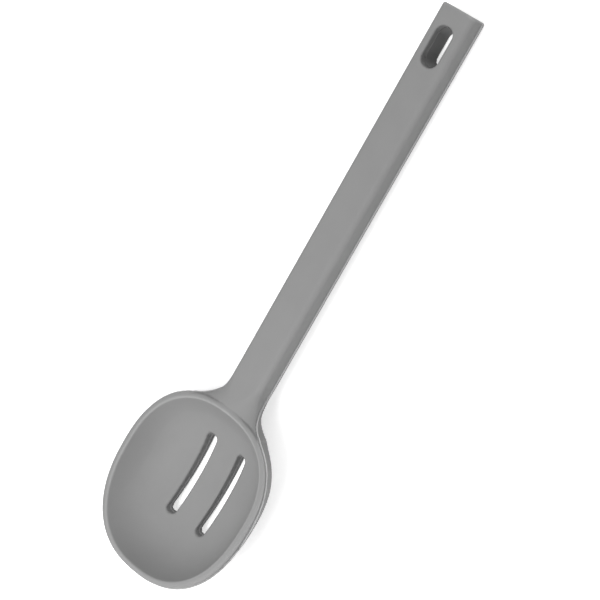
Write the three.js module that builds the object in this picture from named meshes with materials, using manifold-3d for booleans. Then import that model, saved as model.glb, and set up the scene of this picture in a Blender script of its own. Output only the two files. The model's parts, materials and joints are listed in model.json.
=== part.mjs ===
// Slotted cooking spoon: grey silicone moulded in two halves round a rigid nylon core.
// Millimetres. The spoon is drawn with the bowl's tip at x = 0, the handle along +x and the bowl
// open to +z, with z = 0 at the handle's mid-height. The last lines lay it down as it rests on a table.

import * as THREE from 'three';
import { mergeVertices } from 'three/addons/utils/BufferGeometryUtils.js';
import Module from 'manifold-3d';

const wasm = await Module();
wasm.setup();

// Handle
const overallLength = 290;
const handleThickness = 12;
const handleWidthAtNeck = 18.5;
const handleWidthAtEnd = 19.2;
const handleCornerRadius = 2.8;
const handleEndRounding = 1.4;
const handlePartingDrop = 2.2;
const neckFilletRadius = 22;
const neckEdge = 0.6;
const neckBackFullness = 1.5;

// Hanging hole
const hangingHoleLength = 20;
const hangingHoleWidth = 9.7;
const hangingHoleCorner = 4.4;
const hangingHoleFromEnd = 18.8;

// Bowl outline and rim
const bowlLength = 87.1;
const bowlWidth = 81.8;
const bowlWidestFromTip = 46.7;
const bowlSquareness = 2.37;
const rimWidthAtTip = 2.3;
const rimWidthAtSide = 3;
const rimWidthAtNeck = 4.1;
const rimRounding = 0.6;
const rimHeightAtTip = 11.2;
const rimHeightAtNeck = 7;
const rimProud = 0.3;
const bowlPartingHeight = 6.1;
const partingRiseAtTip = 1.5;

// Bowl inside and underside
const floorBelowHandle = 10.2;
const floorLowestFromTip = 49;
const floorRadius = 100;
const insideSteepness = 6;
const bowlWall = 4.8;
const undersideLowestFromTip = 52.7;
const undersideSteepness = 9;
const undersideSteepnessAtNeck = 14;

// Slots
const slotLength = 42.3;
const slotWidth = 5.75;
const slotCorner = 2.4;
const slotSpacing = 19.5;
const slotMiddleFromTip = 47.6;

// Nylon core and the silicone over it
const skinThickness = 1.4;
const mouldClearance = 0.3;
const coreEdgeFromMouth = 3.8;
const handleLockCount = 4;
const handleLockLength = 12;
const handleLockWidth = 6;
const handleLockMargin = 10;
const bowlLockCount = 8;
const bowlLockDiameter = 5;

// Fineness of the facets and of the searches
const outerDetail = { around: 56, rings: 8, corner: 4, flare: 9 };
const coreDetail = { around: 32, rings: 5, corner: 2, flare: 5 };
const ringCrowding = 1.3;
const searchAngle = 0.005;
const searchHalvings = 40;
const slopeStep = 0.05;
const mergeDistance = 1e-5;

// Values that follow from the sizes above
const handleTop = handleThickness / 2;
const wellOutside = overallLength;
const rimOutline = {
  toTip: bowlWidestFromTip,
  toNeck: bowlLength - bowlWidestFromTip,
  toSide: bowlWidth / 2,
};
const mouthOutline = {
  toTip: rimOutline.toTip - rimWidthAtTip,
  toNeck: rimOutline.toNeck - rimWidthAtNeck,
  toSide: rimOutline.toSide - rimWidthAtSide,
};

const siliconeFront = new THREE.MeshStandardMaterial({ color: 0x959595, roughness: 0.62, metalness: 0 });
const siliconeBack = new THREE.MeshStandardMaterial({ color: 0x919191, roughness: 0.62, metalness: 0 });
const nylon = new THREE.MeshStandardMaterial({ color: 0x3b3c3e, roughness: 0.5, metalness: 0 });

// Small helpers

function smoothStep(from, to, value) {
  const t = THREE.MathUtils.clamp((value - from) / (to - from), 0, 1);
  return t * t * (3 - 2 * t);
}

function toSolid(geometry) {
  const bare = geometry.clone();
  bare.deleteAttribute('normal');
  bare.deleteAttribute('uv');
  const merged = mergeVertices(bare, mergeDistance);
  const mesh = new wasm.Mesh({
    numProp: 3,
    vertProperties: new Float32Array(merged.attributes.position.array),
    triVerts: new Uint32Array(merged.index.array),
  });
  return new wasm.Manifold(mesh);
}

function toGeometry(solid) {
  const mesh = solid.getMesh();
  const geometry = new THREE.BufferGeometry();
  geometry.setAttribute('position', new THREE.BufferAttribute(mesh.vertProperties, 3));
  geometry.setIndex(new THREE.BufferAttribute(mesh.triVerts, 1));
  geometry.computeVertexNormals();
  return geometry;
}

// A closed solid through rings of equally many points, with one point closing each end
function skinRings(firstPoint, rings, lastPoint) {
  const count = rings[0].length;
  const points = [firstPoint, ...rings.flat(), lastPoint];
  const top = 1 + (rings.length - 1) * count;
  const faces = [];
  for (let i = 0; i < count; i++) {
    const next = (i + 1) % count;
    faces.push(0, 1 + next, 1 + i);
    for (let low = 1; low < top; low += count) {
      const high = low + count;
      faces.push(low + i, low + next, high + next);
      faces.push(low + i, high + next, high + i);
    }
    faces.push(points.length - 1, top + i, top + next);
  }
  const geometry = new THREE.BufferGeometry();
  geometry.setAttribute('position', new THREE.Float32BufferAttribute(points.flat(), 3));
  geometry.setIndex(faces);
  return toSolid(geometry);
}

// A bar with a rounded oblong outline, standing right through the spoon
function throughCutter(middleX, middleY, length, width, corner, detail) {
  const halfLength = length / 2;
  const halfWidth = width / 2;
  const round = Math.min(corner, halfLength, halfWidth);
  const x = halfLength - round;
  const y = halfWidth - round;
  const quarter = Math.PI / 2;
  const shape = new THREE.Shape();
  shape.absarc(x, y, round, 0, quarter);
  shape.absarc(-x, y, round, quarter, 2 * quarter);
  shape.absarc(-x, -y, round, 2 * quarter, 3 * quarter);
  shape.absarc(x, -y, round, 3 * quarter, 4 * quarter);
  const geometry = new THREE.ExtrudeGeometry(shape, {
    depth: 2 * wellOutside,
    bevelEnabled: false,
    curveSegments: detail.corner,
  });
  geometry.translate(middleX, middleY, -wellOutside);
  return toSolid(geometry);
}

function cutAll(solid, cutters) {
  return cutters.reduce((rest, cutter) => rest.subtract(cutter), solid);
}

// Bowl outline

function grownOutline(outline, growth) {
  return {
    toTip: outline.toTip + growth,
    toNeck: outline.toNeck + growth,
    toSide: outline.toSide + growth,
  };
}

// Point of a rounded bowl outline at an angle, drawn in towards the bowl's middle by a share
function outlinePoint(outline, angle, share) {
  const c = Math.cos(angle);
  const s = Math.sin(angle);
  const power = bowlSquareness;
  const radius = share * (Math.abs(c) ** power + Math.abs(s) ** power) ** (-1 / power);
  const reach = c > 0 ? outline.toNeck : outline.toTip;
  return [bowlWidestFromTip + reach * c * radius, outline.toSide * s * radius];
}

// Share of the way from the bowl's middle to an outline
function outlineShare(outline, x, y) {
  const along = x - bowlWidestFromTip;
  const reach = along > 0 ? outline.toNeck : outline.toTip;
  const power = bowlSquareness;
  return (Math.abs(along / reach) ** power + Math.abs(y / outline.toSide) ** power) ** (1 / power);
}

// Neck: an arc rounds the handle's side into the bowl's outline

function nearestOnRim(x, y) {
  let nearest = { distance: Infinity };
  for (let angle = 0; angle < Math.PI / 2; angle += searchAngle) {
    const [rimX, rimY] = outlinePoint(rimOutline, angle, 1);
    const distance = Math.hypot(x - rimX, y - rimY);
    if (distance < nearest.distance) nearest = { distance, x: rimX };
  }
  return nearest;
}

function fitNeckArc() {
  const middleY = handleWidthAtNeck / 2 + neckFilletRadius;
  let low = bowlLength;
  let high = bowlLength + 2 * neckFilletRadius;
  for (let i = 0; i < searchHalvings; i++) {
    const middleX = (low + high) / 2;
    if (nearestOnRim(middleX, middleY).distance < neckFilletRadius) low = middleX;
    else high = middleX;
  }
  return { handleX: high, bowlX: nearestOnRim(high, middleY).x };
}

const neckArc = fitNeckArc();

// 1 where the neck meets the bowl, 0 where it becomes the straight handle
function flareShare(x) {
  return 1 - smoothStep(neckArc.bowlX, neckArc.handleX, x);
}

function straightHalfWidth(x) {
  const along = Math.max(x - neckArc.handleX, 0) / (overallLength - neckArc.handleX);
  return (handleWidthAtNeck + (handleWidthAtEnd - handleWidthAtNeck) * along) / 2;
}

function halfWidth(x) {
  const back = Math.max(neckArc.handleX - Math.max(x, neckArc.bowlX), 0);
  return straightHalfWidth(x) + neckFilletRadius - Math.sqrt(neckFilletRadius ** 2 - back ** 2);
}

// Height of the parting line round the bowl
function bowlParting(x) {
  return bowlPartingHeight + partingRiseAtTip * (1 - smoothStep(0, bowlWidestFromTip, x));
}

// Height of the parting line, which runs down the neck to the handle's side
function partingHeight(x) {
  const share = smoothStep(neckArc.bowlX - rimWidthAtNeck / 2, neckArc.handleX, x);
  return bowlParting(x) - (bowlPartingHeight + handlePartingDrop) * share;
}

// Bowl surfaces

function rimHeight(x) {
  return rimHeightAtTip + (rimHeightAtNeck - rimHeightAtTip) * (x / bowlLength);
}

function insideHeight(x, y) {
  const floor = ((x - floorLowestFromTip) ** 2 + y * y) / (2 * floorRadius) - floorBelowHandle;
  return floor + (rimHeight(x) - floor) * outlineShare(mouthOutline, x, y) ** insideSteepness;
}

function undersideHeight(x, y) {
  const spread = ((x - undersideLowestFromTip) ** 2 + y * y) / (2 * floorRadius);
  const floor = spread - floorBelowHandle - bowlWall;
  const towardsNeck = smoothStep(bowlWidestFromTip, bowlLength, x);
  const steepness = undersideSteepness + (undersideSteepnessAtNeck - undersideSteepness) * towardsNeck;
  return floor + (bowlParting(x) - floor) * outlineShare(rimOutline, x, y) ** steepness;
}

// How much longer a vertical step is than the same step square to a surface
function slant(height, x, y) {
  const alongX = (height(x + slopeStep, y) - height(x - slopeStep, y)) / (2 * slopeStep);
  const alongY = (height(x, y + slopeStep) - height(x, y - slopeStep)) / (2 * slopeStep);
  return Math.hypot(1, alongX, alongY);
}

function insideCoreHeight(x, y, margin) {
  return insideHeight(x, y) - margin * slant(insideHeight, x, y);
}

function undersideCoreHeight(x, y, margin) {
  return undersideHeight(x, y) + margin * slant(undersideHeight, x, y);
}

// One ring of points round the bowl, at a height that depends on x and y
function bowlRing(outline, share, height, detail) {
  const ring = [];
  for (let i = 0; i < detail.around; i++) {
    const [x, y] = outlinePoint(outline, (2 * Math.PI * i) / detail.around, share);
    ring.push([x, y, height(x, y)]);
  }
  return ring;
}

// Rings from the bowl's middle to an outline, closer together where the wall turns up
function bowlRings(outline, height, detail) {
  const rings = [];
  for (let i = 1; i <= detail.rings; i++) {
    const share = 1 - (1 - i / detail.rings) ** ringCrowding;
    rings.push(bowlRing(outline, share, height, detail));
  }
  return rings;
}

// Everything above a bowl surface that rises through the rim's mouth
function spaceAbove(height, detail) {
  const outline = grownOutline(mouthOutline, rimRounding);
  const rings = bowlRings(outline, height, detail);
  rings.push(bowlRing(outline, 1, () => wellOutside, detail));
  const middle = bowlWidestFromTip;
  return skinRings([middle, 0, height(middle, 0)], rings, [middle, 0, wellOutside]);
}

// The bowl as if it were filled up to its rim
function filledBowl() {
  const rings = bowlRings(rimOutline, undersideHeight, outerDetail);
  for (let i = 0; i <= outerDetail.corner; i++) {
    const turn = (Math.PI / 2) * (i / outerDetail.corner);
    const outline = grownOutline(rimOutline, -rimRounding * (1 - Math.cos(turn)));
    const drop = rimRounding * (1 - Math.sin(turn));
    rings.push(bowlRing(outline, 1, (x) => rimHeight(x) - drop, outerDetail));
  }
  const middle = bowlWidestFromTip;
  return skinRings([middle, 0, undersideHeight(middle, 0)], rings, [middle, 0, rimHeight(middle)]);
}

// Handle surfaces

// Half of a section's edge: from the middle line along a flat and round a corner. A fullness of 0 makes
// the corner elliptic, and more makes it squarer.
function cornerCurve(wide, run, level, drop, fullness, steps) {
  const power = 2 / (2 + fullness);
  const curve = [[0, level]];
  for (let i = 0; i <= steps; i++) {
    const turn = (Math.PI / 2) * (i / steps);
    const across = Math.sin(turn) ** power;
    const down = Math.max(Math.cos(turn), 0) ** power;
    curve.push([wide - run * (1 - across), level - drop * (1 - down)]);
  }
  return curve;
}

// One closed section of the handle, taken in by an inset all round. Where the neck widens, the front flat
// keeps its width, its corners stretch to the parting line, and the back rounds off like a boat's hull.
function handleSection(x, inset, detail) {
  const flare = flareShare(x);
  const wide = halfWidth(x) - inset;
  const corner = Math.max(handleCornerRadius - inset, neckEdge / 2);
  const run = corner + halfWidth(x) - straightHalfWidth(x);
  const neckTop = rimHeight(bowlLength) - rimProud;
  const top = handleTop + (neckTop - handleTop) * flare - inset;
  const edge = Math.min(partingHeight(x), top - neckEdge);
  const drop = corner + (top - edge - neckEdge / 2 - corner) * flare;
  const front = cornerCurve(wide, run, top, drop, 0, detail.corner);
  const hull = Math.sqrt(flare);
  const bottom = inset - handleTop;
  const backRun = run + (wide - run) * hull;
  const rise = corner + (edge - neckEdge / 2 - bottom - corner) * hull;
  const back = cornerCurve(wide, backRun, bottom, -rise, neckBackFullness * flare ** 4, detail.corner);
  const left = [...back, ...front.reverse()];
  const right = left.slice(1, -1).reverse().map(([y, z]) => [-y, z]);
  return [...left, ...right].map(([y, z]) => [x, y, z]);
}

// The handle with its flared neck, its root buried in the bowl's wall
function handleBar(inset, detail) {
  const root = neckArc.bowlX - 2 * rimWidthAtNeck;
  const end = overallLength - inset;
  const rings = [handleSection(root, inset, detail)];
  for (let i = 0; i <= detail.flare; i++) {
    const x = neckArc.bowlX + (neckArc.handleX - neckArc.bowlX) * (i / detail.flare);
    rings.push(handleSection(x, inset, detail));
  }
  for (let i = 0; i <= detail.corner; i++) {
    const turn = (Math.PI / 2) * (i / detail.corner);
    const x = end - handleEndRounding * (1 - Math.sin(turn));
    rings.push(handleSection(x, inset + handleEndRounding * (1 - Math.cos(turn)), detail));
  }
  return skinRings([root, 0, 0], rings, [end, 0, 0]);
}

// Openings, made wider by a margin where silicone lines them

function openingCutters(margin, detail) {
  const cutters = [];
  for (const side of [-1, 1]) {
    const y = (side * slotSpacing) / 2;
    const length = slotLength + 2 * margin;
    const width = slotWidth + 2 * margin;
    cutters.push(throughCutter(slotMiddleFromTip, y, length, width, slotCorner + margin, detail));
  }
  const x = overallLength - hangingHoleFromEnd;
  const length = hangingHoleLength + 2 * margin;
  const width = hangingHoleWidth + 2 * margin;
  cutters.push(throughCutter(x, 0, length, width, hangingHoleCorner + margin, detail));
  return cutters;
}

// Holes in the core that silicone fills, so that the two halves grip each other through it.
// In the bowl they lie midway between the slots' silicone lining and the mouth.
function lockCutters(clearance) {
  const cutters = [];
  const length = handleLockLength - 2 * clearance;
  const width = handleLockWidth - 2 * clearance;
  const holeStart = overallLength - hangingHoleFromEnd - hangingHoleLength / 2;
  const first = neckArc.handleX + handleLockMargin;
  const last = holeStart - handleLockMargin - handleLockLength;
  for (let i = 0; i < handleLockCount; i++) {
    const x = first + ((last - first) * i) / (handleLockCount - 1);
    cutters.push(throughCutter(x, 0, length, width, width / 2, coreDetail));
  }
  const diameter = bowlLockDiameter - 2 * clearance;
  const slotLiningSide = (slotSpacing + slotWidth) / 2 + skinThickness;
  const ring = grownOutline(mouthOutline, (slotLiningSide - mouthOutline.toSide) / 2);
  for (let i = 0; i < bowlLockCount; i++) {
    const [x, y] = outlinePoint(ring, (2 * Math.PI * i) / bowlLockCount, 1);
    cutters.push(throughCutter(x, y, diameter, diameter, diameter / 2, coreDetail));
  }
  return cutters;
}

// The spoon's whole outer form
function spoonForm() {
  const filled = filledBowl().add(handleBar(0, outerDetail));
  const hollow = filled.subtract(spaceAbove(insideHeight, outerDetail));
  return cutAll(hollow, openingCutters(0, outerDetail));
}

// The dished plate of the core
function corePlate(margin, clearance) {
  const outline = grownOutline(mouthOutline, clearance - coreEdgeFromMouth);
  const inside = (x, y) => insideCoreHeight(x, y, margin);
  const under = (x, y) => undersideCoreHeight(x, y, margin);
  const rings = [
    ...bowlRings(outline, under, coreDetail),
    ...bowlRings(outline, inside, coreDetail).reverse(),
  ];
  const middle = bowlWidestFromTip;
  return skinRings([middle, 0, under(middle, 0)], rings, [middle, 0, inside(middle, 0)]);
}

// The core, or with a clearance the room that it needs in the silicone
function coreForm(clearance) {
  const margin = skinThickness - clearance;
  const room = spaceAbove((x, y) => insideCoreHeight(x, y, margin), coreDetail);
  const body = handleBar(margin, coreDetail).subtract(room).add(corePlate(margin, clearance));
  return cutAll(body, [...openingCutters(margin, coreDetail), ...lockCutters(clearance)]);
}

// Everything in front of the parting surface, which follows the core inside the bowl's wall
function frontSpace(shift) {
  const coreMiddle = (x, y) => {
    const inside = insideCoreHeight(x, y, skinThickness);
    return (inside + undersideCoreHeight(x, y, skinThickness)) / 2 + shift;
  };
  const parting = (x) => partingHeight(x) + shift;
  const flange = grownOutline(rimOutline, neckArc.handleX + 2 * rimWidthAtNeck - bowlLength);
  const rings = bowlRings(grownOutline(mouthOutline, -coreEdgeFromMouth), coreMiddle, coreDetail);
  rings.push(bowlRing(rimOutline, 1, parting, coreDetail));
  rings.push(bowlRing(flange, 1, parting, coreDetail));
  rings.push(bowlRing(flange, 1, () => wellOutside, coreDetail));
  const middle = bowlWidestFromTip;
  const bowl = skinRings([middle, 0, coreMiddle(middle, 0)], rings, [middle, 0, wellOutside]);
  const box = new THREE.BoxGeometry(wellOutside, wellOutside, wellOutside);
  const start = neckArc.handleX;
  box.translate(start + wellOutside / 2, 0, parting(start) + wellOutside / 2);
  return bowl.add(toSolid(box));
}

function piece(name, solid, material) {
  const mesh = new THREE.Mesh(toGeometry(solid), material);
  mesh.name = name;
  return mesh;
}

// The three pieces as they sit in each other

const silicone = spoonForm().subtract(coreForm(mouldClearance));
const front = piece('front_skin', silicone.intersect(frontSpace(mouldClearance / 2)), siliconeFront);
const back = piece('back_skin', silicone.subtract(frontSpace(-mouldClearance / 2)), siliconeBack);
const core = piece('core', coreForm(0), nylon);

// Slope of the line that touches the bowl's underside and the handle's end from below
function restingSlope(geometry) {
  const points = geometry.attributes.position;
  let low = 0;
  let high = 1;
  for (let i = 0; i < searchHalvings; i++) {
    const slope = (low + high) / 2;
    let bowl = Infinity;
    let end = Infinity;
    for (let k = 0; k < points.count; k++) {
      const height = points.getZ(k) - slope * points.getX(k);
      if (points.getX(k) < neckArc.handleX) bowl = Math.min(bowl, height);
      else end = Math.min(end, height);
    }
    if (bowl < end) low = slope;
    else high = slope;
  }
  return low;
}

// The spoon laid on a table, with the origin under the middle of its box
const tilted = new THREE.Group();
tilted.add(front, back, core);
tilted.rotation.y = Math.atan(restingSlope(back.geometry));

const spoon = new THREE.Group();
spoon.add(tilted);
spoon.updateMatrixWorld(true);
const box = new THREE.Box3().setFromObject(spoon, true);
spoon.position.set(-(box.min.x + box.max.x) / 2, -(box.min.y + box.max.y) / 2, -box.min.z);

export default spoon;
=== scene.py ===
"""The looks of the slotted cooking spoon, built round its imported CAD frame.

The two silicone halves are made again as smooth meshes: one formula for the whole spoon is turned into a
mesh, which is cut at the parting line and hollowed for the core. Sizes are in millimetres in the spoon's own
drawing frame, with the bowl's tip at x = 0, the handle along +x and the bowl open to +z.
"""

import json
import math

import bmesh
import bpy
import numpy as np
from mathutils import Matrix, Vector


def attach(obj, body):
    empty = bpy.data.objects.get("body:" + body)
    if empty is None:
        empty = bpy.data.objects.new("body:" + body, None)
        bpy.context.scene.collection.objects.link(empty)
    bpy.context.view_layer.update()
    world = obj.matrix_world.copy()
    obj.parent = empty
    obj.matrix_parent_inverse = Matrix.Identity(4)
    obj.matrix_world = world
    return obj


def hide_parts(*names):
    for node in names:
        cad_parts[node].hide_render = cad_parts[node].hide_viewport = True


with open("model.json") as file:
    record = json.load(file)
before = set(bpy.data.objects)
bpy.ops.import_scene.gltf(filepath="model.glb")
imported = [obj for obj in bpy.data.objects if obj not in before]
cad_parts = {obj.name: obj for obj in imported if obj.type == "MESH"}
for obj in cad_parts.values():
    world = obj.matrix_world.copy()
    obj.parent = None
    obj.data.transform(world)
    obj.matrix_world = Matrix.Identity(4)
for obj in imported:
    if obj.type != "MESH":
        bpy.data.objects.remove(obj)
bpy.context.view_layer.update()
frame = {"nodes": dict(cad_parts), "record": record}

# A millimetre in metres, the gap in metres that is welded shut, and the least that a number is divided by
MM = 0.001
WELD = 1e-7
TINY = 1e-6

# Handle and its flared neck. The neck's shoulders reach further in than the handle's corners and are less
# round, and the neck goes on into the bowl for its reach, where it spreads as it goes.
LENGTH = 290.0
HANDLE_TOP = 6.0
HANDLE_WIDTH_AT_NECK = 18.5
HANDLE_WIDTH_AT_END = 19.2
HANDLE_CORNER = 2.8
HANDLE_END_ROUNDING = 1.1
HANDLE_PARTING = -2.2
NECK_FILLET = 20.0
NECK_EDGE = 0.6
NECK_SHOULDER = 7.5
NECK_SLOPE = 0.5
NECK_REACH = 8.2
NECK_SPREAD = 0.7

# Hanging hole
HOLE_LENGTH = 20.0
HOLE_WIDTH = 9.7
HOLE_CORNER = 4.4
HOLE_FROM_END = 18.8

# Bowl
BOWL_LENGTH = 86.3
BOWL_WIDTH = 81.8
BOWL_WIDEST = 46.7
BOWL_SQUARENESS = 2.37
RIM_WIDTH_AT_TIP = 2.3
RIM_WIDTH_AT_SIDE = 3.0
RIM_WIDTH_AT_NECK = 2.7
RIM_AT_TIP = 11.2
RIM_AT_NECK = 7.0
BOWL_PARTING = 6.1
PARTING_RISE_AT_TIP = 1.5
PARTING_FALL_FROM = 79.0
FLOOR_BELOW = 10.2
FLOOR_LOWEST = 49.0
FLOOR_RADIUS = 100.0
INSIDE_STEEPNESS = 7.0
WALL = 4.8
UNDERSIDE_LOWEST = 52.7
UNDERSIDE_STEEPNESS = 9.0
UNDERSIDE_STEEPNESS_AT_NECK = 14.0

# Slots
SLOT_LENGTH = 42.3
SLOT_WIDTH = 5.75
SLOT_CORNER = 2.4
SLOT_SPACING = 19.5
SLOT_MIDDLE = 47.6

# Soft edges and leaning walls of the moulding
RIM_ROUNDING = 1.6
UNDERSIDE_ROUNDING = 0.8
MOUTH_ROUNDING = 0.7
OPENING_ROUNDING = 0.25
SLOT_END_DRAFT = 0.4
HOLE_END_DRAFT = 0.18
OPENING_SIDE_DRAFT = 0.05
NECK_BLEND_FRONT = 0.8
NECK_BLEND_BACK = 6.5

# The parting line, where the back half stands out by a fine ledge. In the bowl it lies at a share of the
# wall's thickness, and from a share of the way to the rim on it goes over to the line on the outer wall.
LEDGE = 0.7
LEDGE_FADE = 1.5
LEDGE_END = 2.5
SEAM_IN_BOWL = 0.57
SEAM_LEAVES_WALL = 0.8
SEAM_IN_HOLE = 3.0
SEAM_RISE = 2.5
SEAM_LOSS = 0.75

# Painted highlight on the edges, partly meant as scuffs from use, beside the painted highlight of the
# parting
# line: its share, how far off the bend is measured, and the bends at which it starts and is full
EDGE_HIGHLIGHT_AND_WEAR = 0.5
BEND_REACH = 1.0
BEND_STARTS = 0.3
BEND_FULL = 1.5

# Distances in front of a surface within which another one makes it a hollow, where the colour takes painted
# shade
HOLLOW_REACH = (5.0, 10.0, 18.0, 30.0, 45.0)

# Least silicone over the core
COVER = 0.7

# Fineness of the mesh
MESH_STEP = 0.6
HANDLE_STEP = 2.5
MESH_MARGIN = 3 * MESH_STEP
EDGE_REACH = 0.4
SETTLE_ROUNDS = 4
LEAST_STEEPNESS = 0.05
SURFACE_TOLERANCE = 0.02
SEAM_TOLERANCE = 0.1

# Short steps that slopes are measured over, in plan and of the whole form
PLAN_PROBE = 0.05
FORM_PROBE = 0.02

# An outline's formula is followed out to this share of the way from its middle, and nowhere taken as flatter
# than this share of its slope at the side.
OUTLINE_REACH = 1.5
OUTLINE_LEAST_SLOPE = 0.5

# Fineness of the neck's fit to the bowl's outline
FIT_POINTS = 4000
FIT_ROUNDS = 40

# The block that parts the front half from the back one
BLOCK_MARGIN = 10.0
BLOCK_STEP = 1.0
BLOCK_TOP = 60.0

# Least agreement of a face with the formula's slope, as a cosine, for the slope to shade it
SAME_WAY = 0.5

# Materials: greys as 0 to 255 screen values, grain and clouds in millimetres
# The darkest grey of each material is painted shade in the hollows
# The palest grey of each material is painted highlight on the edges and the parting line, on the edges
# partly meant as scuffs from use
FRONT_GREYS = {"dark": 143, "light": 149, "highlight_and_wear": 190, "painted_shade": 122}
BACK_GREYS = {"dark": 142, "light": 148, "highlight_and_wear": 190, "painted_shade": 121}
CORE_GREYS = {"dark": 58, "light": 64, "highlight_and_wear": 66, "painted_shade": 52}
SILICONE_FINISH = {"roughness": 0.72, "grain": 0.5, "depth": 0.05, "sheen": 0.05}
NYLON_FINISH = {"roughness": 0.5, "grain": 0.8, "depth": 0.04, "sheen": 0.0}
CLOUD_SIZE = 12.0
CLOUD_DETAIL = 6
GLOSS_SIZE = 5.0
GLOSS_DETAIL = 4
GLOSS_SPREAD = 0.06
GRAIN_DETAIL = 3
GRAIN_STRENGTH = 0.25
SPECULAR_LEVEL = 0.3
SHEEN_ROUGHNESS = 0.4

# The photograph's view: angles in degrees, the point looked at, the eye's place, the lens, and in metres the
# nearest that is seen
VIEW_ROLL = -33.0
VIEW_PITCH = -8.76
VIEW_SPIN = 0.06
VIEW_MIDDLE = (145.0, 0.0, 0.0)
VIEW_OFFSET = (-1.11, 0.23, 1000.0)
HANDLE_SLOPE_IN_PHOTO = 60.25
SENSOR = 36.0
LENS = 134.64
NEAREST_SEEN = 0.01

# Light: the key lamp stands high beyond the tip, the side lamp low on the camera's side and towards the tip,
# the end lamp low beyond the handle's end.
# Angles are in degrees, from the handle's direction and above the floor; the rest in metres and watts.
LIGHT_TARGET = (90.0, 0.0, 0.0)
KEY_LAMP = {"azimuth": 200, "elevation": 65, "distance": 0.6, "size": 0.35, "power": 2.3}
SIDE_LAMP = {"azimuth": 240, "elevation": 22, "distance": 0.6, "size": 0.35, "power": 0.5}
END_LAMP = {"azimuth": 0, "elevation": 22, "distance": 0.6, "size": 0.35, "power": 0.6}
SKY_AT_HORIZON = 0.08
SKY_OVERHEAD = 0.64
FLOOR_SIZE = 6.0
FLOOR_TONE = 0.9
FLOOR_GLOW = 0.6

RIM = (BOWL_WIDEST, BOWL_LENGTH - BOWL_WIDEST, BOWL_WIDTH / 2)
MOUTH = (RIM[0] - RIM_WIDTH_AT_TIP, RIM[1] - RIM_WIDTH_AT_NECK, RIM[2] - RIM_WIDTH_AT_SIDE)


# Formulas of the form

def smooth_step(low, high, value):
    t = np.clip((value - low) / (high - low), 0, 1)
    return t * t * (3 - 2 * t)


def both(a, b, radius):
    """Inside both of two forms, with the edge where they meet rounded."""
    corner = np.hypot(np.maximum(a + radius, 0), np.maximum(b + radius, 0))
    return np.minimum(np.maximum(a, b), -radius) + corner


def either(a, b, radius):
    """Inside one or the other form, with the hollow where they meet filled to a radius."""
    return -both(-a, -b, radius)


def outline_share(outline, x, y):
    """Share of the way from the bowl's middle to an outline."""
    to_tip, to_neck, to_side = outline
    along = x - BOWL_WIDEST
    u = np.abs(along) / np.where(along > 0, to_neck, to_tip)
    v = np.abs(y) / to_side
    share = (u**BOWL_SQUARENESS + v**BOWL_SQUARENESS) ** (1 / BOWL_SQUARENESS)
    return np.clip(share, TINY, OUTLINE_REACH)


def outline_distance(outline, x, y):
    """About the distance outside an outline, in plan."""
    step = PLAN_PROBE
    share = outline_share(outline, x, y)
    along = (outline_share(outline, x + step, y) - outline_share(outline, x - step, y)) / (2 * step)
    across = (outline_share(outline, x, y + step) - outline_share(outline, x, y - step)) / (2 * step)
    return (share - 1) / np.maximum(np.hypot(along, across), OUTLINE_LEAST_SLOPE / outline[2])


def fit_neck_arc():
    """Where the neck's rounding leaves the bowl's outline and where it meets the handle's side."""
    turn = np.linspace(0, math.pi / 2, FIT_POINTS)
    cosine, sine = np.cos(turn), np.sin(turn)
    radius = (cosine**BOWL_SQUARENESS + sine**BOWL_SQUARENESS) ** (-1 / BOWL_SQUARENESS)
    rim_x, rim_y = BOWL_WIDEST + RIM[1] * cosine * radius, RIM[2] * sine * radius
    middle_y = HANDLE_WIDTH_AT_NECK / 2 + NECK_FILLET
    low, high = BOWL_LENGTH, BOWL_LENGTH + 2 * NECK_FILLET
    for _ in range(FIT_ROUNDS):
        middle_x = (low + high) / 2
        distance = np.hypot(rim_x - middle_x, rim_y - middle_y)
        if distance.min() < NECK_FILLET:
            low = middle_x
        else:
            high = middle_x
    return rim_x[distance.argmin()], high


NECK_AT_BOWL, NECK_AT_HANDLE = fit_neck_arc()


def rim_height(x):
    return RIM_AT_TIP + (RIM_AT_NECK - RIM_AT_TIP) * x / BOWL_LENGTH


def bowl_parting(x):
    return BOWL_PARTING + PARTING_RISE_AT_TIP * (1 - smooth_step(0, BOWL_WIDEST, x))


def parting_height(x):
    share = smooth_step(PARTING_FALL_FROM, NECK_AT_HANDLE, x)
    return bowl_parting(x) + (HANDLE_PARTING - BOWL_PARTING) * share


def inside_height(x, y):
    floor = ((x - FLOOR_LOWEST) ** 2 + y**2) / (2 * FLOOR_RADIUS) - FLOOR_BELOW
    depth = np.maximum(rim_height(x) - floor, WALL)
    return floor + depth * outline_share(MOUTH, x, y) ** INSIDE_STEEPNESS


def underside_height(x, y):
    floor = ((x - UNDERSIDE_LOWEST) ** 2 + y**2) / (2 * FLOOR_RADIUS) - FLOOR_BELOW - WALL
    to_neck = smooth_step(BOWL_WIDEST, BOWL_LENGTH, x)
    steepness = UNDERSIDE_STEEPNESS + (UNDERSIDE_STEEPNESS_AT_NECK - UNDERSIDE_STEEPNESS) * to_neck
    return floor + (bowl_parting(x) - floor) * outline_share(RIM, x, y) ** steepness


def slant(height, x, y):
    """How much longer an upright step is than the same step square to a surface."""
    step = PLAN_PROBE
    along = (height(x + step, y) - height(x - step, y)) / (2 * step)
    across = (height(x, y + step) - height(x, y - step)) / (2 * step)
    return np.sqrt(1 + along**2 + across**2)


def oblong(x, y, length, width, corner):
    """Distance outside an oblong with round corners, in plan."""
    u = np.abs(x) - length / 2 + corner
    v = np.abs(y) - width / 2 + corner
    return np.hypot(np.maximum(u, 0), np.maximum(v, 0)) + np.minimum(np.maximum(u, v), 0) - corner


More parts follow.
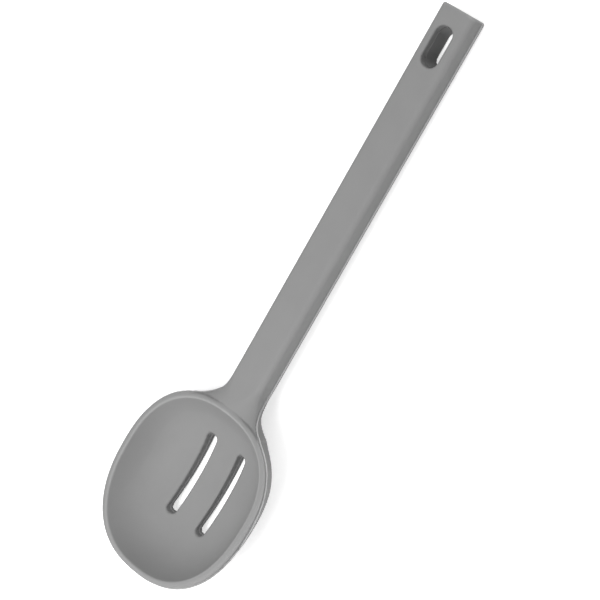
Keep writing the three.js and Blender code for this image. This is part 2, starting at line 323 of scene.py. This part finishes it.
def corner_distance(across, run, up, drop, power):
    """About the distance outside a flat, a wall and the rounded corner between them."""
    u = np.maximum(across / run + 1, TINY)
    v = np.maximum(up / drop + 1, TINY)
    reach = (u**power + v**power) ** (1 / power)
    slope = np.hypot((u / reach) ** (power - 1) / run, (v / reach) ** (power - 1) / drop)
    return (reach - 1) / slope


def handle_distance(x, y, z):
    """About the distance outside the handle and its flared neck."""
    flare = 1 - smooth_step(NECK_AT_BOWL, NECK_AT_HANDLE, x)
    along = np.clip((x - NECK_AT_HANDLE) / (LENGTH - NECK_AT_HANDLE), 0, 1)
    straight = (HANDLE_WIDTH_AT_NECK + (HANDLE_WIDTH_AT_END - HANDLE_WIDTH_AT_NECK) * along) / 2
    back = np.clip(NECK_AT_HANDLE - x, 0, NECK_AT_HANDLE - NECK_AT_BOWL)
    wide = straight + NECK_FILLET - np.sqrt(NECK_FILLET**2 - back**2)
    wide = wide + NECK_SPREAD * np.clip(NECK_AT_BOWL - x, 0, NECK_REACH)
    run = HANDLE_CORNER + wide - straight
    top = HANDLE_TOP + (RIM_AT_NECK - HANDLE_TOP) * (1 - smooth_step(BOWL_LENGTH, NECK_AT_HANDLE, x))
    edge = np.minimum(parting_height(x), top - NECK_EDGE)
    drop = HANDLE_CORNER + (top - edge - NECK_EDGE / 2 - HANDLE_CORNER) * flare
    shoulder = run + NECK_SHOULDER * flare
    front = corner_distance(np.abs(y) - wide, shoulder, z - top, drop, 2 - NECK_SLOPE * flare)
    hull = np.sqrt(flare)
    back_run = run + (wide - run) * hull
    rise = HANDLE_CORNER + (edge - NECK_EDGE / 2 + HANDLE_TOP - HANDLE_CORNER) * hull
    under = corner_distance(np.abs(y) - wide, back_run, -HANDLE_TOP - z, rise, 2)
    bar = both(np.maximum(front, under), x - LENGTH, HANDLE_END_ROUNDING)
    return np.maximum(bar, NECK_AT_BOWL - NECK_REACH - x)


def tapered(along, across, depth, end_draft, length, width, corner):
    """Distance outside an oblong opening that narrows with depth, most of all at its end towards the tip."""
    lean = end_draft * depth
    return oblong(along - lean / 2, across, length - lean, width - 2 * OPENING_SIDE_DRAFT * depth, corner)


def slot_distance(x, y, z):
    depth = np.clip(inside_height(x, y) - z, 0, WALL)
    across = np.abs(y) - SLOT_SPACING / 2
    return tapered(x - SLOT_MIDDLE, across, depth, SLOT_END_DRAFT, SLOT_LENGTH, SLOT_WIDTH, SLOT_CORNER)


def hole_distance(x, y, z):
    depth = np.clip(HANDLE_TOP - z, 0, 2 * HANDLE_TOP)
    along = x - LENGTH + HOLE_FROM_END
    return tapered(along, y, depth, HOLE_END_DRAFT, HOLE_LENGTH, HOLE_WIDTH, HOLE_CORNER)


def openings_distance(x, y, z):
    return np.minimum(slot_distance(x, y, z), hole_distance(x, y, z))


def body_distance(x, y, z):
    """About the distance outside the spoon without its openings."""
    wall = outline_distance(RIM, x, y)
    bowl = both(wall, z - rim_height(x), RIM_ROUNDING)
    bowl = both(bowl, (underside_height(x, y) - z) / slant(underside_height, x, y), UNDERSIDE_ROUNDING)
    behind = smooth_step(BOWL_PARTING, HANDLE_PARTING, z)
    blend = NECK_BLEND_FRONT + (NECK_BLEND_BACK - NECK_BLEND_FRONT) * behind
    spoon = either(bowl, handle_distance(x, y, z), blend)
    return both(spoon, (z - inside_height(x, y)) / slant(inside_height, x, y), MOUTH_ROUNDING)


def spoon_distance(x, y, z):
    """About the distance outside the whole spoon: negative in the silicone and the core."""
    return both(body_distance(x, y, z), -openings_distance(x, y, z), OPENING_ROUNDING)


def covered_distance(x, y, z):
    """About the distance outside the room for the core, which the silicone covers."""
    return spoon_distance(x, y, z) + COVER


# From formula to mesh

def mesh_lines():
    """Grid lines along x, y and z: fine everywhere but along the plain part of the handle."""
    plain_from = NECK_AT_HANDLE + 2 * HANDLE_CORNER
    plain_to = LENGTH - HOLE_FROM_END - HOLE_LENGTH / 2 - 2 * HANDLE_CORNER
    along = np.concatenate([
        np.arange(-MESH_MARGIN, plain_from, MESH_STEP),
        np.arange(plain_from, plain_to, HANDLE_STEP),
        np.arange(plain_to, LENGTH + MESH_MARGIN, MESH_STEP),
    ])
    half = BOWL_WIDTH / 2 + MESH_MARGIN
    across = np.arange(-half, half + MESH_STEP, MESH_STEP)
    up = np.arange(-FLOOR_BELOW - WALL - MESH_MARGIN, RIM_AT_TIP + MESH_MARGIN, MESH_STEP)
    return along, across, up


def surface_net(distance, lines):
    """Points and four-sided faces of the surface where the distance is nought, one point to a grid cell."""
    values = distance(*np.meshgrid(*lines, indexing="ij"))
    inside = values < 0
    cells = tuple(n - 1 for n in values.shape)
    sums = [np.zeros(np.prod(cells)) for _ in range(4)]
    faces = []
    for axis in range(3):
        first = tuple(slice(0, -1) if a == axis else slice(None) for a in range(3))
        second = tuple(slice(1, None) if a == axis else slice(None) for a in range(3))
        at = np.argwhere(inside[first] != inside[second])
        ahead = at.copy()
        ahead[:, axis] += 1
        low, high = values[tuple(at.T)], values[tuple(ahead.T)]
        point = [lines[a][at[:, a]] for a in range(3)]
        point[axis] = point[axis] + (lines[axis][ahead[:, axis]] - point[axis]) * low / (low - high)
        b, c = (axis + 1) % 3, (axis + 2) % 3
        ring = []
        for shift_b, shift_c in ((0, 0), (-1, 0), (-1, -1), (0, -1)):
            cell = at.copy()
            cell[:, b] += shift_b
            cell[:, c] += shift_c
            index = np.ravel_multi_index(tuple(cell.T), cells)
            ring.append(index)
            for total, part in zip(sums, [*point, np.ones(len(at))]):
                total += np.bincount(index, part, len(total))
        ring = np.stack(ring, 1)
        outward = low < 0
        faces.append(np.where(outward[:, None], ring, ring[:, ::-1]))
    used = np.flatnonzero(sums[3])
    points = np.stack([total[used] / sums[3][used] for total in sums[:3]], 1)
    renumber = np.zeros(len(sums[3]), int)
    renumber[used] = np.arange(len(used))
    return points, renumber[np.concatenate(faces)]


def slope_at(distance, points):
    """Slope of a distance formula at points."""
    slopes = []
    for axis in range(3):
        ahead, behind = points.copy(), points.copy()
        ahead[:, axis] += FORM_PROBE
        behind[:, axis] -= FORM_PROBE
        slopes.append((distance(*ahead.T) - distance(*behind.T)) / (2 * FORM_PROBE))
    return np.stack(slopes, 1)


def settle(distance, points):
    """Moves points towards the surface, and most of them onto it."""
    slope = slope_at(distance, points)
    steepness = np.maximum((slope**2).sum(1), LEAST_STEEPNESS)
    return points - slope * np.clip(distance(*points.T) / steepness, -MESH_STEP, MESH_STEP)[:, None]


def settle_all(points):
    """Moves points onto the spoon's surface, and those beside an opening's edge onto that edge."""
    for _ in range(SETTLE_ROUNDS):
        points = settle(spoon_distance, points)
    beside = np.maximum(np.abs(body_distance(*points.T)), np.abs(openings_distance(*points.T))) < EDGE_REACH
    for distance in SETTLE_ROUNDS * (body_distance, openings_distance):
        points[beside] = settle(distance, points[beside])
    return settle(spoon_distance, points)


# The drawing frame as the spoon lies on the table

def find_placement(points):
    """Turns drawing points as the CAD lies, with the origin under the middle of the box."""
    normal = next(m["axis"] for m in frame["record"]["mounts"] if m["name"] == "handle_front")
    sine, cosine = normal[0], normal[2]
    turn = np.array([[cosine, 0, sine], [0, 1, 0], [-sine, 0, cosine]])
    turned = points @ turn.T
    low, high = turned.min(0), turned.max(0)
    return turn, np.array([-(low[0] + high[0]) / 2, 0, -low[2]])


points, faces = surface_net(spoon_distance, mesh_lines())
points = settle_all(points)
TURN, SHIFT = find_placement(points)


def place(points):
    """Drawing points in millimetres as part points in metres."""
    return (np.asarray(points, float) @ TURN.T + SHIFT) * MM


def unplace(points):
    """Part points in metres as drawing points in millimetres."""
    return (np.asarray(points, float) / MM - SHIFT) @ TURN


def new_object(name, points, faces):
    mesh = bpy.data.meshes.new(name)
    mesh.from_pydata(place(points).tolist(), [], np.asarray(faces).tolist())
    mesh.update()
    made = bpy.data.objects.new(name, mesh)
    bpy.context.scene.collection.objects.link(made)
    return made


# Cutting at the parting surface

def parting_surface(x, y):
    """Height of the parting surface: within the bowl's wall, out to the parting line, and up at the hole."""
    inside = inside_height(x, y)
    middle = inside + (underside_height(x, y) - inside) * SEAM_IN_BOWL
    outer = smooth_step(SEAM_LEAVES_WALL, 1, outline_share(RIM, x, y))
    height = middle + (parting_height(x) - middle) * outer
    away = smooth_step(0, SEAM_RISE, hole_distance(x, y, SEAM_IN_HOLE))
    return SEAM_IN_HOLE + (height - SEAM_IN_HOLE) * away


def front_space():
    """A closed block of everything in front of the parting surface."""
    along = np.arange(-BLOCK_MARGIN, LENGTH + BLOCK_MARGIN, BLOCK_STEP)
    half = BOWL_WIDTH / 2 + BLOCK_MARGIN
    across = np.arange(-half, half + BLOCK_STEP / 2, BLOCK_STEP)
    x, y = np.meshgrid(along, across, indexing="ij")
    z = parting_surface(x, y)
    rows, columns = x.shape
    lower = np.stack([x, y, z], -1).reshape(-1, 3)
    upper = np.stack([x, y, np.full_like(x, BLOCK_TOP)], -1).reshape(-1, 3)
    index = np.arange(rows * columns).reshape(rows, columns)
    quads = np.stack([index[:-1, :-1], index[:-1, 1:], index[1:, 1:], index[1:, :-1]], -1).reshape(-1, 4)
    border = np.concatenate([index[:, 0], index[-1, 1:], index[-2::-1, -1], index[0, -2:0:-1]])
    following = np.roll(border, -1)
    top = rows * columns
    walls = np.stack([border, following, following + top, border + top], 1)
    faces = np.concatenate([quads, quads[:, ::-1] + top, walls])
    return new_object("front_space", np.concatenate([lower, upper]), faces)


def cut(piece, tool, operation):
    """Cuts a piece with a closed tool."""
    modifier = piece.modifiers.new("cut", "BOOLEAN")
    modifier.operation = operation
    modifier.solver = "MANIFOLD"
    modifier.object = tool
    evaluated = piece.evaluated_get(bpy.context.evaluated_depsgraph_get())
    mesh = bpy.data.meshes.new_from_object(evaluated)
    piece.modifiers.clear()
    piece.data = mesh


def mesh_vectors(items, name):
    """A property with three numbers, of all points or faces of a mesh."""
    flat = np.empty(3 * len(items), np.float32)
    items.foreach_get(name, flat)
    return flat.reshape(-1, 3)


def mesh_counts(items, name):
    """A property with one whole number, of all corners or faces of a mesh."""
    counts = np.empty(len(items), np.int32)
    items.foreach_get(name, counts)
    return counts


def drawn_points(mesh):
    return unplace(mesh_vectors(mesh.vertices, "co"))


def set_points(mesh, drawn):
    mesh.vertices.foreach_set("co", place(drawn).astype(np.float32).ravel())
    mesh.update()


def keep_attribute(mesh, name, values):
    """Keeps a number for each point of a mesh under a name that a material can read."""
    attribute = mesh.attributes.new(name, "FLOAT", "POINT")
    attribute.data.foreach_set("value", values.astype(np.float32))


def edge_highlight_and_wear_share(drawn):
    """How much painted highlight an edge takes, partly meant as scuffs from use: from 0 on flat and hollow
    places to 1 on the spoon's edges.
    """
    bend = np.zeros(len(drawn))
    for axis in range(3):
        for step in (-BEND_REACH, BEND_REACH):
            beside = drawn.copy()
            beside[:, axis] += step
            bend += body_distance(*beside.T) / BEND_REACH
    return smooth_step(BEND_STARTS, BEND_FULL, bend)


def painted_shade_share(drawn, outward):
    """How much painted shade a point takes: from 0 in the open to 1 where the surface has another close in
    front of it.
    """
    shut = np.zeros(len(drawn))
    for reach in HOLLOW_REACH:
        ahead = spoon_distance(*(drawn + outward * reach).T)
        shut += np.clip(1 - ahead / reach, 0, 1) / len(HOLLOW_REACH)
    return np.sqrt(shut)


def shade_by_slope(mesh, outward, outer):
    """Shades the outer surface by the formula's slope, and every other face as flat."""
    corner_points = mesh_counts(mesh.loops, "vertex_index")
    corners_of_face = mesh_counts(mesh.polygons, "loop_total")
    normals = np.repeat(mesh_vectors(mesh.polygons, "normal"), corners_of_face, axis=0)
    slopes = (outward @ TURN.T)[corner_points]
    smooth = outer[corner_points] & ((normals * slopes).sum(1) > SAME_WAY)
    normals[smooth] = slopes[smooth]
    mesh.polygons.foreach_set("use_smooth", np.ones(len(corners_of_face), bool))
    mesh.normals_split_custom_set(normals.tolist())


def finish_surface(piece, ledge):
    """Marks a piece's painted highlight on the parting line and the edges, on the edges partly meant as
    scuffs from use, and its painted shade in the hollows, lets it stand out along the parting line, apart
    from the handle's end and less in the openings, and shades it.
    """
    mesh = piece.data
    drawn = drawn_points(mesh)
    off_surface = np.abs(spoon_distance(*drawn.T))
    off_parting = np.abs(drawn[:, 2] - parting_surface(drawn[:, 0], drawn[:, 1]))
    outward = slope_at(spoon_distance, drawn)
    outward /= np.maximum(np.linalg.norm(outward, axis=1), TINY)[:, None]
    seam = (off_parting < SURFACE_TOLERANCE) & (off_surface < SEAM_TOLERANCE)
    outer = (off_surface < SURFACE_TOLERANCE) | seam
    out_of_openings = 1 - SEAM_LOSS * smooth_step(0, LEDGE_FADE, -body_distance(*drawn.T))
    # The parting line takes painted highlight, less in the openings; the other edges take painted highlight,
    # partly meant as scuffs from use
    highlight_and_wear = np.where(seam, out_of_openings, EDGE_HIGHLIGHT_AND_WEAR * edge_highlight_and_wear_share(drawn))
    keep_attribute(mesh, "highlight_and_wear_mask", highlight_and_wear * outer)
    # Painted shade, darker in the hollows
    keep_attribute(mesh, "hollow", painted_shade_share(drawn, outward) * outer)
    off_end = 1 - smooth_step(LENGTH - LEDGE_END, LENGTH, drawn[:, 0])
    near_parting = 1 - smooth_step(0, LEDGE_FADE, off_parting)
    stand = ledge * near_parting * off_end * out_of_openings * outer
    set_points(mesh, drawn + outward * stand[:, None])
    shade_by_slope(mesh, outward, outer)


def make_core():
    """The core as one closed surface, drawn in where the silicone over it would be too thin."""
    welded = bmesh.new()
    welded.from_mesh(frame["nodes"]["core"].data)
    bmesh.ops.remove_doubles(welded, verts=welded.verts, dist=WELD)
    mesh = bpy.data.meshes.new("core_insert")
    welded.to_mesh(mesh)
    welded.free()
    drawn = drawn_points(mesh)
    for _ in range(SETTLE_ROUNDS):
        thin = spoon_distance(*drawn.T) > -COVER
        drawn[thin] = settle(covered_distance, drawn[thin])
    set_points(mesh, drawn)
    made = bpy.data.objects.new("core_insert", mesh)
    bpy.context.scene.collection.objects.link(made)
    return made


front = new_object("front_silicone", points, faces)
back = new_object("back_silicone", points, faces)
core = make_core()
front_block = front_space()
cut(front, front_block, "INTERSECT")
cut(back, front_block, "DIFFERENCE")
bpy.data.objects.remove(front_block)
for piece, ledge in ((front, 0), (back, LEDGE)):
    cut(piece, core, "DIFFERENCE")
    finish_surface(piece, ledge)


# Materials

def grey(value):
    """A neutral grey from its 0 to 255 screen value."""
    share = value / 255
    linear = ((share + 0.055) / 1.055) ** 2.4
    return (linear, linear, linear, 1)


def mix_greys(tree, factor, dark, light):
    ramp = tree.nodes.new("ShaderNodeValToRGB")
    ramp.color_ramp.elements[0].color = grey(dark)
    ramp.color_ramp.elements[1].color = grey(light)
    tree.links.new(factor, ramp.inputs["Fac"])
    return ramp.outputs["Color"]


def noise(tree, size, detail):
    """Noise in object space, with grains of a size in millimetres."""
    where = tree.nodes.new("ShaderNodeTexCoord")
    made = tree.nodes.new("ShaderNodeTexNoise")
    made.inputs["Scale"].default_value = 1 / (size * MM)
    made.inputs["Detail"].default_value = detail
    tree.links.new(where.outputs["Object"], made.inputs["Vector"])
    return made.outputs["Fac"]


def towards_grey(tree, attribute, colour, other):
    """A colour that goes over to a grey with a surface attribute."""
    share = tree.nodes.new("ShaderNodeAttribute")
    share.attribute_name = attribute
    mix = tree.nodes.new("ShaderNodeMix")
    mix.data_type = "RGBA"
    mix.inputs["B"].default_value = grey(other)
    tree.links.new(share.outputs["Fac"], mix.inputs["Factor"])
    tree.links.new(colour, mix.inputs["A"])
    return mix.outputs["Result"]


def moulded_material(name, dark, light, highlight_and_wear, painted_shade, roughness, grain, depth, sheen):
    """A moulded matte surface: cloudy tone, painted highlight on the edges and the parting line (on the
    edges partly meant as scuffs from use), painted shade in the hollows, fine grain and gloss that varies.
    """
    material = bpy.data.materials.new(name)
    material.use_nodes = True
    tree = material.node_tree
    shader = tree.nodes["Principled BSDF"]
    shader.inputs["Specular IOR Level"].default_value = SPECULAR_LEVEL
    shader.inputs["Sheen Weight"].default_value = sheen
    shader.inputs["Sheen Roughness"].default_value = SHEEN_ROUGHNESS
    cloudy = mix_greys(tree, noise(tree, CLOUD_SIZE, CLOUD_DETAIL), dark, light)
    # Painted shade in the hollows
    shaded = towards_grey(tree, "hollow", cloudy, painted_shade)
    # Painted highlight on the edges and the parting line, on the edges partly meant as scuffs from use
    tree.links.new(towards_grey(tree, "highlight_and_wear_mask", shaded, highlight_and_wear), shader.inputs["Base Color"])
    gloss = tree.nodes.new("ShaderNodeMapRange")
    gloss.inputs["To Min"].default_value = roughness - GLOSS_SPREAD
    gloss.inputs["To Max"].default_value = roughness + GLOSS_SPREAD
    tree.links.new(noise(tree, GLOSS_SIZE, GLOSS_DETAIL), gloss.inputs["Value"])
    tree.links.new(gloss.outputs["Result"], shader.inputs["Roughness"])
    bump = tree.nodes.new("ShaderNodeBump")
    bump.inputs["Strength"].default_value = GRAIN_STRENGTH
    bump.inputs["Distance"].default_value = depth * MM
    tree.links.new(noise(tree, grain, GRAIN_DETAIL), bump.inputs["Height"])
    tree.links.new(bump.outputs["Normal"], shader.inputs["Normal"])
    return material


for piece, node, slot, greys, finish in (
    (front, "front_skin", "silicone_front", FRONT_GREYS, SILICONE_FINISH),
    (back, "back_skin", "silicone_back", BACK_GREYS, SILICONE_FINISH),
    (core, "core", "nylon_core", CORE_GREYS, NYLON_FINISH),
):
    piece.data.materials.clear()
    piece.data.materials.append(moulded_material(slot, **greys, **finish))
    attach(piece, "root")
    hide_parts(node)


# Floor, light and camera

def white_for_camera(tree, surface, white, output):
    """Adds plain white light to a surface for the camera's own view of it, and for gloss and glass."""
    rays = tree.nodes.new("ShaderNodeLightPath")
    seen = tree.nodes.new("ShaderNodeMath")
    seen.operation = "MAXIMUM"
    tree.links.new(rays.outputs["Is Camera Ray"], seen.inputs[0])
    tree.links.new(rays.outputs["Is Glossy Ray"], seen.inputs[1])
    clear = tree.nodes.new("ShaderNodeMath")
    clear.operation = "MAXIMUM"
    tree.links.new(seen.outputs[0], clear.inputs[0])
    tree.links.new(rays.outputs["Is Transmission Ray"], clear.inputs[1])
    mix = tree.nodes.new("ShaderNodeMixShader")
    tree.links.new(clear.outputs[0], mix.inputs["Fac"])
    tree.links.new(surface, mix.inputs[1])
    tree.links.new(white, mix.inputs[2])
    tree.links.new(mix.outputs[0], output)


def make_floor():
    """A pale floor that takes the spoon's shadow, with a plain glow that turns it white for the camera."""
    bpy.ops.mesh.primitive_plane_add(size=FLOOR_SIZE)
    floor = bpy.context.object
    floor.name = "floor"
    material = bpy.data.materials.new("floor")
    material.use_nodes = True
    tree = material.node_tree
    tree.nodes.clear()
    output = tree.nodes.new("ShaderNodeOutputMaterial")
    paint = tree.nodes.new("ShaderNodeBsdfDiffuse")
    paint.inputs["Color"].default_value = (FLOOR_TONE, FLOOR_TONE, FLOOR_TONE, 1)
    glow = tree.nodes.new("ShaderNodeEmission")
    glow.inputs["Strength"].default_value = FLOOR_GLOW
    lit = tree.nodes.new("ShaderNodeAddShader")
    tree.links.new(paint.outputs[0], lit.inputs[0])
    tree.links.new(glow.outputs[0], lit.inputs[1])
    white_for_camera(tree, paint.outputs[0], lit.outputs[0], output.inputs["Surface"])
    floor.data.materials.append(material)


def make_world():
    """A sky that brightens from the horizon to overhead, and plain white for the camera."""
    world = bpy.data.worlds.new("studio")
    bpy.context.scene.world = world
    world.use_nodes = True
    tree = world.node_tree
    tree.nodes.clear()
    output = tree.nodes.new("ShaderNodeOutputWorld")
    sky = tree.nodes.new("ShaderNodeBackground")
    where = tree.nodes.new("ShaderNodeTexCoord")
    parts = tree.nodes.new("ShaderNodeSeparateXYZ")
    tree.links.new(where.outputs["Generated"], parts.inputs[0])
    rise = tree.nodes.new("ShaderNodeMapRange")
    rise.inputs["To Min"].default_value = SKY_AT_HORIZON
    rise.inputs["To Max"].default_value = SKY_OVERHEAD
    tree.links.new(parts.outputs["Z"], rise.inputs["Value"])
    tree.links.new(rise.outputs["Result"], sky.inputs["Strength"])
    white = tree.nodes.new("ShaderNodeBackground")
    white.inputs["Strength"].default_value = 1
    for node in (sky, white):
        node.inputs["Color"].default_value = (1, 1, 1, 1)
    white_for_camera(tree, sky.outputs[0], white.outputs[0], output.inputs["Surface"])


def make_lamp(name, azimuth, elevation, distance, size, power):
    """A square soft box that faces the spoon."""
    turn, height = math.radians(azimuth), math.radians(elevation)
    level = math.cos(height)
    towards = Vector((level * math.cos(turn), level * math.sin(turn), math.sin(height)))
    data = bpy.data.lights.new(name, "AREA")
    data.shape = "SQUARE"
    data.size = size
    data.energy = power
    lamp = bpy.data.objects.new(name, data)
    lamp.location = Vector(place(LIGHT_TARGET)) + towards * distance
    lamp.rotation_euler = towards.to_track_quat("Z", "Y").to_euler()
    bpy.context.scene.collection.objects.link(lamp)


def make_camera():
    """The photograph's view: the spoon rolled and pitched before a lens that looks straight down on it."""
    roll, pitch, spin = np.radians(VIEW_ROLL), np.radians(VIEW_PITCH), np.radians(VIEW_SPIN)
    about_x = np.array(Matrix.Rotation(roll, 3, "X"))
    about_y = np.array(Matrix.Rotation(pitch, 3, "Y"))
    about_z = np.array(Matrix.Rotation(spin, 3, "Z"))
    turn = about_z @ about_y @ about_x
    slope = math.radians(HANDLE_SLOPE_IN_PHOTO)
    cosine, sine = math.cos(slope), math.sin(slope)
    axes = np.array([[cosine, -sine, 0], [sine, cosine, 0], [0, 0, 1]]) @ turn
    eye = np.array(VIEW_MIDDLE) + turn.T @ np.array(VIEW_OFFSET)
    data = bpy.data.cameras.new("camera")
    data.sensor_width = SENSOR
    data.lens = LENS
    data.clip_start = NEAREST_SEEN
    camera = bpy.data.objects.new("camera", data)
    pose = np.eye(4)
    pose[:3, :3] = TURN @ axes.T
    pose[:3, 3] = place(eye)
    camera.matrix_world = Matrix(pose.tolist())
    bpy.context.scene.collection.objects.link(camera)
    bpy.context.scene.camera = camera


make_floor()
make_world()
make_lamp("key_lamp", **KEY_LAMP)
make_lamp("side_lamp", **SIDE_LAMP)
make_lamp("end_lamp", **END_LAMP)
make_camera()
bpy.context.scene.view_settings.view_transform = "Standard"
